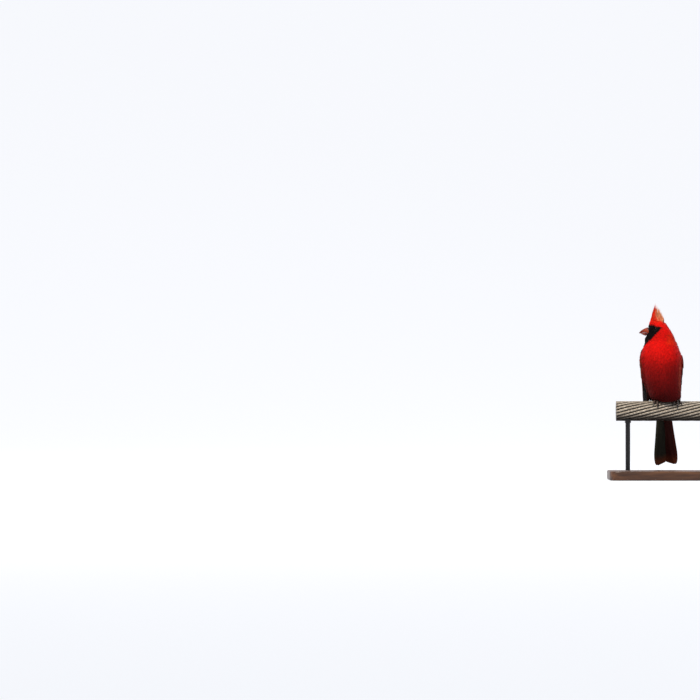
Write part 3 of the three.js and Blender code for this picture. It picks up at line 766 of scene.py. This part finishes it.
def make_coat():
    """Body feathers all over the skin: small on the face, middling on the head and larger on the body."""
    scale = 1.0
    tries = 150000

    def spacing(points):
        head, face = head_share(points), face_share(points)
        return 0.001 * scale * lerp(lerp(1.35, 0.95, head), 0.62, face)

    roots, normals = scatter(spacing, int(tries / scale**2))
    keep = ~bare(roots)
    roots, normals = roots[keep], normals[keep]
    aims = lie_of(roots, normals)
    head, face = head_share(roots), face_share(roots)
    vary = rng.uniform(0.85, 1.15, len(roots))
    length = 0.001 * lerp(lerp(8.5, 5.0, head), 2.4, face) * vary
    width = 0.001 * lerp(lerp(4.2, 2.6, head), 1.25, face) * rng.uniform(0.9, 1.15, len(roots))
    lift = 0.001 * lerp(lerp(1.35, 1.0, head), 0.55, face) * rng.uniform(0.75, 1.25, len(roots))
    flank = flank_share(roots)
    forward, beside, up = head_frame(roots)
    crown = smooth(4.5, 7.5, up) * (1 - smooth(7, 11, np.abs(beside))) * smooth(-8, -4, forward)
    z = above_strand(roots)
    collar = smooth(76, 82, z) * (1 - smooth(88, 95, z)) * smooth(-12, 0, body_depth(roots))
    lift += 0.0019 * flank + 0.0026 * crown + 0.0011 * collar
    length *= 1 + 0.3 * flank + 0.35 * collar
    colour = plumage(roots + normals * 0.001, normals) * rng.uniform(0.84, 1.14, len(roots))[:, None]
    back = smooth(0.1, 0.7, normals[:, 1])[:, None] * (1 - head[:, None])
    tip = colour * (1.08 - 0.2 * back) + back * 0.25 * FRINGE_GREY
    groups = {
        "coat_head": head > 0.5,
        "coat_front": (head <= 0.5) & (normals[:, 1] < 0),
        "coat_back": (head <= 0.5) & (normals[:, 1] >= 0),
    }
    for name, group in groups.items():
        template = barb_template(2 if name == "coat_head" else 4)
        form = [each[group] for each in (roots, normals, aims, length, width, lift)]
        points, up = lying_tufts(template, *form)
        a = template[0][None, :, None]
        shade = colour[group][:, None] * (0.55 + 0.45 * np.minimum(a * 2.2, 1))
        shade = mix(shade, tip[group][:, None], a[..., 0] ** 1.5)
        mesh = barbed_mesh(name, template, points, up, shade, unwrap(roots[group]))
        show(name, mesh, BODY_FEATHER)


make_coat()


# Flight, covert and tail feathers as whole vanes
def vane_width(share):
    """The share of its full width that a vane has along its length, rounded off at the tip."""
    tip = max(0.0, (share - 0.8) / 0.2)
    return min(1.0, 0.45 + 1.4 * share) * math.sqrt(max(1 - tip * tip, 0.0004))


class Vanes:
    """Collects closed vanes with their tints, vane coordinates and baking patches."""

    def __init__(self):
        self.points, self.faces, self.tints, self.vane_uv, self.cells = [], [], [], [], []

    def add(self, rows, columns, place, tint):
        """Adds a vane. place and tint get the share along, across from -1 to 1, and 1 for its upper face."""
        start = len(self.points)
        index = {}
        for upper in (0, 1):
            for r in range(rows + 1):
                for c in range(columns + 1):
                    along, across = 1 - (1 - r / rows) ** 1.5, 2 * c / columns - 1
                    index[upper, r, c] = len(self.points) - start
                    self.points.append(place(along, across, upper))
                    self.tints.append(tint(along, across, upper))
                    self.vane_uv.append((across * 0.1, along))
        faces = []
        for r in range(rows):
            for c in range(columns):
                corners = [(r, c), (r, c + 1), (r + 1, c + 1), (r + 1, c)]
                faces.append([index[(1, *k)] for k in corners])
                faces.append([index[(0, *k)] for k in reversed(corners)])
            for c, order in ((0, 1), (columns, -1)):
                ring = [index[1, r, c], index[1, r + 1, c], index[0, r + 1, c], index[0, r, c]]
                faces.append(ring[::order])
        for c in range(columns):
            for r, order in ((0, -1), (rows, 1)):
                ring = [index[1, r, c], index[1, r, c + 1], index[0, r, c + 1], index[0, r, c]]
                faces.append(ring[:: -order])
        self.faces += [tuple(i + start for i in face) for face in faces]
        self.cells.append((start, len(self.points)))

    def mesh(self, name):
        mesh = mesh_from(name, self.points, self.faces)
        paint(mesh, self.tints)
        vane = np.array(self.vane_uv)
        bake = np.zeros_like(vane)
        columns = max(len(self.cells) // 2 + 1, 1)
        for i, (start, end) in enumerate(self.cells):
            column, row = i % columns, i // columns
            bake[start:end, 0] = (column + 0.5 + vane[start:end, 0] * 4) / columns
            bake[start:end, 1] = (row + 0.04 + vane[start:end, 1] * 0.92) / 2
        loops = np.array([loop.vertex_index for loop in mesh.loops])
        mesh.uv_layers.new(name="OFBake").data.foreach_set("uv", bake[loops].ravel())
        mesh.uv_layers.new(name="Vane").data.foreach_set("uv", vane[loops].ravel())
        return mesh


# Each tier of the wing: count, roots and tips of its first and last feather as (y, z), vane width, levels
# over the mantle at root and tip, lift of the lower edge, and bow
WING_TIERS = [
    ("primary", 9, (-1, 57), (6, 50), (24, 11), (31.5, 2), 8.6, (-0.3, -0.35), 0.3, -2.0),
    ("secondary", 6, (7, 55), (14, 59), (29.4, 12), (30, 25), 8.8, (-0.1, 0.05), 0.4, -1.1),
    ("tertial", 3, (14, 66), (18, 68), (30, 29), (27.6, 42), 9.6, (0.1, 0.5), 0.45, -0.4),
    ("primary covert", 6, (-4, 62), (2, 58), (6, 33), (13, 36), 4.4, (-0.1, 0.1), 0.3, -0.6),
    ("alula", 3, (-5, 67), (-2, 64), (-1, 45), (7, 40), 5.4, (-0.1, 0.3), 0.3, -0.8),
    ("greater covert", 9, (0, 65), (16, 70), (9, 42), (25, 52), 6.6, (0.1, 0.7), 0.45, -0.6),
    ("median covert", 8, (-3, 71), (13, 75), (-1, 54), (20.5, 63), 6.6, (0.1, 1.0), 0.45, -0.4),
    ("scapular", 6, (3, 81), (12, 80), (11, 67), (24, 56), 8.2, (-0.6, 0.9), 0.4, -0.3),
]
PRIMARY_TIPS = [
    (24, 14), (26.5, 5), (29, -1), (31, -5.5), (31.5, -6.5), (31.6, -4), (31.4, 1), (31, 6), (30.6, 10),
]
VANE_THICKNESS = 0.32


def wing_tint(kind):
    """A wing feather's colour along and across it: dusky vane, orange-brown outer edge, greyer tip."""
    edge = {"primary": WING_EDGE, "scapular": linear("8e1c0c")}.get(kind, linear("a02c12"))
    inner = {"scapular": BACK_GREY, "median covert": linear("6a2414"), "tertial": linear("3a1812"),
             "secondary": linear("2e1410")}.get(kind, DUSK)
    grey = linear("77736a")

    def tint(along, across, upper):
        worn = 0.9 * smooth(0.6, 0.85, along) * (kind == "primary")
        share = smooth(-0.5, 0.7, -across) * (1 - worn)
        if kind in ("median covert", "scapular", "greater covert"):
            share = max(share, 0.6)
        if not upper:
            share *= 0.3
        colour = inner * (1 - share) + edge * share
        rim = (0.3 if kind in ("tertial", "secondary") else 0.16) * smooth(0.92, 1.0, along)
        if kind == "primary":
            rim = 0.7 * smooth(0.78, 0.95, -across) * smooth(0.5, 0.75, along)
        return colour * (1 - rim) + grey * rim

    return tint


def make_wing(side, word):
    """The folded wing's feathers, tier over tier."""
    vanes = Vanes()
    for kind, count, root0, root1, tip0, tip1, width, levels, lift, bow in WING_TIERS:
        tint = wing_tint(kind)
        for i in range(count):
            share = i / (count - 1)
            root = Vector(root0).lerp(Vector(root1), share)
            tip = Vector(PRIMARY_TIPS[i]) if kind == "primary" else Vector(tip0).lerp(Vector(tip1), share)
            tip += Vector(rng.normal(0, 0.35, 2))
            ahead = tip - root
            aside = Vector((-ahead.y, ahead.x)).normalized()
            rise, strength = rng.uniform(-0.06, 0.06), rng.uniform(0.82, 1.18)

            def place(along, across, upper):
                shift = bow * 4 * along * (1 - along) + across * width / 2 * vane_width(along)
                at = root + ahead * along + aside * shift
                level = lerp(levels[0], levels[1], along) - lift * across + rise
                ridge = 0.16 * (1 - min(abs(across) * 5, 1)) * (1 - along) * upper
                return wing_point(side, at.x, at.y, level + VANE_THICKNESS * upper + ridge)

            vanes.add(22 if ahead.length > 30 else 12, 8, place, lambda *at: tint(*at) * strength)
    name = f"wing_{word}_feathers"
    show(name, vanes.mesh(name), QUILL_FEATHER, (f"wing_{word}",))


for wing_side, wing_word in ((1, "left"), (-1, "right")):
    make_wing(wing_side, wing_word)


# The shoulder that the soft scapular and mantle feathers cover, as (y, z) on the mantle
SHOULDER = [(2, 85), (14, 87), (26, 84), (27.5, 46), (25, 40), (21, 56), (12, 67), (2, 70)]


def make_shoulders():
    """Soft feathers from the back and shoulder that lie over the wings' upper and inner edges."""
    template = barb_template(4)
    tries, apart = 3000, 1.5
    for side, word in ((1, "left"), (-1, "right")):
        y, z = rng.uniform(0, 28, tries), rng.uniform(38, 88, tries)
        within = inside(SHOULDER, y, z)
        y, z = y[within], z[within]
        chosen = []
        for i in range(len(y)):
            if all((y[i] - y[j]) ** 2 + (z[i] - z[j]) ** 2 > apart**2 for j in chosen):
                chosen.append(i)
        y, z = y[chosen], z[chosen]
        turned_in = smooth(19, 26, y)
        ahead = np.stack([0.42 * (1 - turned_in) - 0.3 * turned_in, -np.ones(len(y))], axis=1)
        ahead = ahead * rng.uniform(8, 10.5, (len(y), 1))
        ahead += rng.normal(0, 0.5, ahead.shape)
        sunk = smooth(79, 84, z)
        roots = np.array([wing_point(side, *at) for at in zip(y, z, 0.6 - 3.0 * sunk)])
        ends = zip(y + ahead[:, 0], z + ahead[:, 1], 2.3 - 0.7 * sunk)
        tips = np.array([wing_point(side, *at) for at in ends])
        outer = np.array([wing_point(side, *at, 4.0) for at in zip(y, z)])
        inner = np.array([wing_point(side, *at, 0.0) for at in zip(y, z)])
        normals = unit(outer - inner)
        width = rng.uniform(4.0, 5.0, len(y)) * 0.001
        points, up = free_plumes(template, roots, tips, normals, width, 0.1, 0.0003, 0.0014 * sunk)
        colour = plumage(roots, normals) * rng.uniform(0.84, 1.14, len(y))[:, None]
        a = template[0][None, :, None]
        edge = colour * 0.85 + 0.3 * FRINGE_GREY
        shade = mix(colour[:, None] * (0.5 + 0.5 * np.minimum(a * 2, 1)), edge[:, None], a[..., 0] ** 3)
        mesh = barbed_mesh(f"coat_shoulder_{word}", template, points, up, shade, unwrap(roots))
        show(f"coat_shoulder_{word}", mesh, BODY_FEATHER)


make_shoulders()


def make_flank_shade_plumes():
    """Loose feathers that hang from the flanks beside the tips of the wings, near black as painted shade for
    the shadow there.
    """
    template = barb_template(4)
    count = 70
    starts, ends = [], []
    for side, start, end in ((-1, (17, 23), (18, 25)), (1, (11, 15), (12, 15))):
        share = rng.random(count)
        depth = rng.uniform(1, 12, count)
        starts += [mm(side * lerp(*start, t), y, 31 + 4 * t) for t, y in zip(share, depth)]
        ends += [mm(side * lerp(*end, t), y + 5, 11.6 + 1.2 * t + n) for t, y, n in
                 zip(share, depth, rng.normal(0, 0.4, count))]
    roots, tips = np.array(starts), np.array(ends)
    normals = rng.normal((0, -1, 0), 0.25, (len(roots), 3))
    points, up = free_plumes(template, roots, tips, normals, rng.uniform(3.4, 4.6, len(roots)) * 0.001, 0.25)
    # Near-black tint: painted shade
    shade = (linear("200504") * rng.uniform(0.7, 1.2, len(roots))[:, None])[:, None]
    mesh = barbed_mesh("coat_flank_shade_plumes", template, points, up, shade, unwrap(roots))
    show("coat_flank_shade_plumes", mesh, BODY_FEATHER)


make_flank_shade_plumes()


def make_tail():
    """Twelve tail feathers, the middle pair uppermost."""
    vanes = Vanes()
    pairs = 6
    for pair in range(pairs):
        for side in (1, -1):
            length = TAIL_LENGTH - 3.4 + 0.68 * pair - (1 if pair == pairs - 1 else 0)
            level = 1 - 0.52 * pair + 0.13 * side

            def place(along, across, upper):
                over = side * lerp(0.6 + 0.6 * pair, 2 + 2.05 * pair, along**1.5)
                over += across * 4.9 * vane_width(along) * lerp(0.75, 1, along)
                tilt = 0.34 * side * across * along
                ridge = 0.3 * (1 - min(abs(across) * 6, 1)) * (1 - along * 0.8) * (1 if upper else -1)
                out = level + tilt + 0.35 * upper - 0.25 * across**2 + ridge
                return tail_point(length * along, over, out)

            def tint(along, across, upper):
                outer = smooth(0.1, 0.9, side * across)
                top = mix(linear("8e2317"), linear("5b1a12"), 1 - outer)
                inner, rim = ("360c08", "4a140c") if side > 0 else ("24231b", "3a3a2c")
                below = mix(linear(inner), linear(rim), outer)
                colour = top if upper else below
                return mix(colour, linear("7a3a1e"), 0.7 * smooth(0.86, 0.98, along))

            vanes.add(26, 8, place, tint)
    show("tail_feathers", vanes.mesh("tail_feathers"), QUILL_FEATHER, ("tail",))


make_tail()

# The crest's root and tip, each as (forward, up) from the eyes' middle, from the brow to the nape
CREST = [
    ((8.2, 5.5), (6.2, 14.5)),
    ((6.6, 6.5), (4.7, 21)),
    ((4.6, 7), (3, 26.6)),
    ((2, 7), (1.1, 29.8)),
    ((-0.6, 7), (-1.6, 27)),
    ((-3.4, 7), (-4.6, 24)),
    ((-6, 7), (-7.2, 20)),
    ((-8.4, 6.5), (-10, 13)),
]


def make_crest():
    """Slender plumes that stand up from the crown, red in front and tan behind."""
    template = barb_template(3, ragged=0.1)
    count = 420
    brow_width, nape_width, tip_width = 3.4, 6.3, 1.5  # half widths
    table = np.array([(*root, *tip) for root, tip in CREST])
    t = rng.random(count) * (len(CREST) - 1)
    rows = [np.interp(t, range(len(CREST)), table[:, k]) for k in range(4)]
    sideways = rng.uniform(-1, 1, count)
    reach = (1.16 - 0.35 * sideways**2) * rng.uniform(0.25, 1.04, count) ** 0.6
    brow = smooth(2, 6.5, rows[0])
    half = lerp(nape_width, brow_width, brow)
    sink = 1.4 + 1.6 * sideways**2 * (1 - brow) + 0.6 * brow
    roots = np.array([head_point(f, s * w, u - d) for f, u, s, w, d in zip(*rows[:2], sideways, half, sink)])
    tips = np.array([
        head_point(lerp(f0, f1, r), s * lerp(w, tip_width, r), lerp(u0, u1, r))
        for f0, u0, f1, u1, s, w, r in zip(*rows, sideways, half, reach)
    ])
    normals = np.array(BESIDE)[None] * np.sign(sideways + 1e-3)[:, None] * 0.8
    normals += rng.normal(0, 0.3, (count, 3))
    normals += np.array(AHEAD)[None] * (0.5 * (rows[0] > 4))[:, None]
    points, up = free_plumes(template, roots, tips, normals, rng.uniform(1.7, 2.8, count) * 0.001, 0.5)
    base = mix(SCARLET, ORANGE_RED, rng.random(count) * 0.8) * rng.uniform(0.85, 1.15, count)[:, None]
    a = template[0][None]
    rear = smooth(2.6, 4.4, t)[:, None] * smooth(0.4, 0.9, a)
    greyed = 0.5 * (1 - smooth(1.5, 3, t))[:, None] * smooth(0.75, 1, a)
    colour = mix(mix(base[:, None], TAN, 0.85 * rear), linear("7a4a34"), greyed)
    mesh = barbed_mesh("crest_feathers", template, points, up, colour, unwrap(roots), 0.5)
    show("crest_feathers", mesh, BODY_FEATHER, ("crest",))


make_crest()


# Bill, eyes and lids
for half in ("bill_upper", "bill_lower"):
    horn = evaluated(*node_shape(half), ("REMESH", {"mode": "VOXEL", "voxel_size": 0.00018}),
                     ("SMOOTH", {"factor": 0.5, "iterations": 7}))
    horn.shade_smooth()
    show(f"{half}_horn", horn, BILL, (half,))


def make_eye(centre, word):
    work = bmesh.new()
    bmesh.ops.create_uvsphere(work, u_segments=40, v_segments=28, radius=EYE_RADIUS / 1000,
                              matrix=Matrix.Translation(centre))
    mesh = bpy.data.meshes.new(f"eye_{word}_ball")
    work.to_mesh(mesh)
    work.free()
    mesh.shade_smooth()
    show(mesh.name, mesh, EYE, (f"eye_{word}",))


def make_eyelid(centre, axis, word):
    """The lids' rim, a slightly flattened ring round the eye's opening."""
    radius, tube = LID_RADIUS / 1000, 0.00042
    across = axis.orthogonal().normalized()
    beside = axis.cross(across)
    points, faces = [], []
    around, section = 48, 10
    for i in range(around):
        a = 2 * math.pi * i / around
        out = across * math.cos(a) + beside * math.sin(a)
        for j in range(section):
            b = 2 * math.pi * j / section
            points.append(centre + out * (radius + tube * math.cos(b)) + axis * tube * 0.7 * math.sin(b))
            n, m = (i + 1) % around, (j + 1) % section
            faces.append((i * section + j, n * section + j, n * section + m, i * section + m))
    show(f"eyelid_{word}", mesh_from(f"eyelid_{word}", points, faces), LID)


for eye_side, eye_word in ((1, "left"), (-1, "right")):
    low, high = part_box(f"eye_{eye_word}")
    spot = (Vector(low) + Vector(high)) / 2
    make_eye(spot, eye_word)
    make_eyelid(spot + eye_axis(eye_side) * 0.00275, eye_axis(eye_side), eye_word)

# Each toe: name, degrees round the strand of its start, its end and its claw's tip, spread and radius
TOES = [
    ("inner", -6, 42, 62, -4.2, 1.35),
    ("middle", -6, 58, 82, 0, 1.45),
    ("outer", -6, 45, 66, 4.6, 1.35),
    ("hind", -6, -48, -80, -1, 1.5),
]


def toe_tube(side, toe, start, end, sides, rings, thickness):
    """A closed tube that follows a toe's way round the strand, from start to end in degrees."""
    _, begin, finish, _, spread, _ = toe

    def place(share, angle, rim):
        radius = thickness(share)
        along = lerp(start, end, share)
        reach = STRAND_DIAMETER / 2 + GAP + radius
        a = math.radians(along)
        x = side * FOOT_REACH + side * spread * (along - begin) / (finish - begin)
        up = Vector((0, -math.sin(a), math.cos(a)))
        at = Vector((x, 0, 0)) + up * reach
        at += (up * math.sin(angle) + Vector((math.cos(angle), 0, 0))) * radius * rim
        return mm(*at)

    return moulded(sides, rings, place)


def scaled_toe(radius):
    """Thickness of a toe with its pads and its rows of scutes."""
    def thickness(share):
        pads = 0.08 * math.cos(share * 6 * math.pi)
        scutes = 0.035 * math.cos(share * 30 * math.pi)
        return radius * (1 - 0.14 * share) * (1 + pads + scutes)

    return thickness


def make_feet():
    """Toes that grip the strand, their claws, and the scaly shanks that reach up into the belly."""
    toes, claws = [], []
    for side in (1, -1):
        for toe in TOES:
            radius = toe[5]
            toes.append(toe_tube(side, toe, toe[1], toe[2], 16, 60, scaled_toe(radius)))
            claws.append(toe_tube(side, toe, toe[2] - 2, toe[3], 14, 16,
                                  lambda share: lerp(radius * 0.7, 0.12, share**0.8)))

        def shank(share, angle, rim):
            radius = SHANK_RADIUS * rim * (1 + 0.05 * math.cos(share * 18 * math.pi))
            x = side * FOOT_REACH + radius * math.cos(angle)
            return mm(x, 1.6 + 4.5 * share + radius * math.sin(angle), lerp(14.5, 27, share))

        toes.append(moulded(16, 30, shank))
    show("feet_scales", mesh_from("feet_scales", *gather(toes)), LEG,
         ("foot_left", "foot_right", "leg_left", "leg_right"))
    show("claws_horn", mesh_from("claws_horn", *gather(claws)), CLAW,
         [f"claw_{word}_{toe[0]}" for word in ("left", "right") for toe in TOES])


make_feet()


def make_strand():
    """Separate wires in layers round a middle one. Only the outer layer, which shows, is twisted."""
    wire = STRAND_DIAMETER / 14
    slack = 0.985
    # Each layer: wires, distance from the strand's axis, steps along and sides
    layers = [
        (STRAND_WIRES, STRAND_DIAMETER / 2 - wire, 44, 14),
        (12, wire * 4, 1, 12),
        (6, wire * 2, 1, 12),
        (1, 0, 1, 12),
    ]
    lines = []
    for count, reach, rings, sides in layers:
        for k in range(count):
            def place(share, angle, rim):
                x = (share - 0.5) * STRAND_LENGTH
                turn = 2 * math.pi * (k / count - (x / STRAND_LAY if rings > 1 else 0))
                centre = Vector((x, reach * math.cos(turn), reach * math.sin(turn)))
                lay = 2 * math.pi * reach / STRAND_LAY if rings > 1 else 0
                radius = wire * rim * slack
                around = Vector((0, -math.sin(turn), math.cos(turn))) * math.hypot(1, lay)
                out = Vector((0, math.cos(turn), math.sin(turn)))
                return mm(*(centre + (out * math.cos(angle) + around * math.sin(angle)) * radius))

            lines.append(moulded(sides, rings, place))
    mesh = mesh_from("strand_wires", *gather(lines))
    mesh.set_sharp_from_angle(angle=math.radians(50))
    show("strand_wires", mesh, WIRE, ("perch_strand",))


make_strand()

# Stand: the solids themselves, with their finishes
for node, finish in (("stand_base", WALNUT), ("stand_rod_left", LACQUER), ("stand_rod_right", LACQUER)):
    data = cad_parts[node].data
    data.materials.clear()
    data.materials.append(finish)


def make_backdrop():
    """A paper floor that bends up into a wall behind the object, in metres."""
    half_width, near, bend_start, bend, top = 16, -20, 2.2, 1.2, 14
    profile = [(near, 0)]
    profile += [
        (bend_start + bend * math.sin(a), bend - bend * math.cos(a)) for a in np.linspace(0, math.pi / 2, 17)
    ]
    profile += [(bend_start + bend, top)]
    points, faces = [], []
    for y, z in profile:
        points += [(-half_width, y, z), (half_width, y, z)]
    for i in range(len(profile) - 1):
        faces.append((2 * i, 2 * i + 1, 2 * i + 3, 2 * i + 2))
    show("backdrop", mesh_from("backdrop", points, faces), PAPER, is_stage=True)


make_backdrop()


def area_light(name, place, size, power, colour):
    """A round soft light that faces the bird's middle."""
    lamp = bpy.data.lights.new(name, "AREA")
    lamp.shape = "DISK"
    lamp.size = size
    lamp.energy = power
    lamp.color = linear(colour)
    holder = bpy.data.objects.new(name, lamp)
    bpy.context.scene.collection.objects.link(holder)
    holder.location = place
    aim = Vector((0, 0, 0.12)) - Vector(place)
    holder.rotation_euler = aim.to_track_quat("-Z", "Y").to_euler()


area_light("key", (-1.1, -1.3, 2.1), 0.6, 76, "fff4e6")
area_light("fill", (1.7, -1.2, 0.8), 1.4, 13, "f8f6ff")
area_light("rim", (0.9, 1.4, 1.5), 0.8, 20, "ffffff")
world = bpy.data.worlds.new("studio")
world.use_nodes = True
world.node_tree.nodes["Background"].inputs["Color"].default_value = (*linear("eff3ff"), 1)
world.node_tree.nodes["Background"].inputs["Strength"].default_value = 0.3
bpy.context.scene.world = world
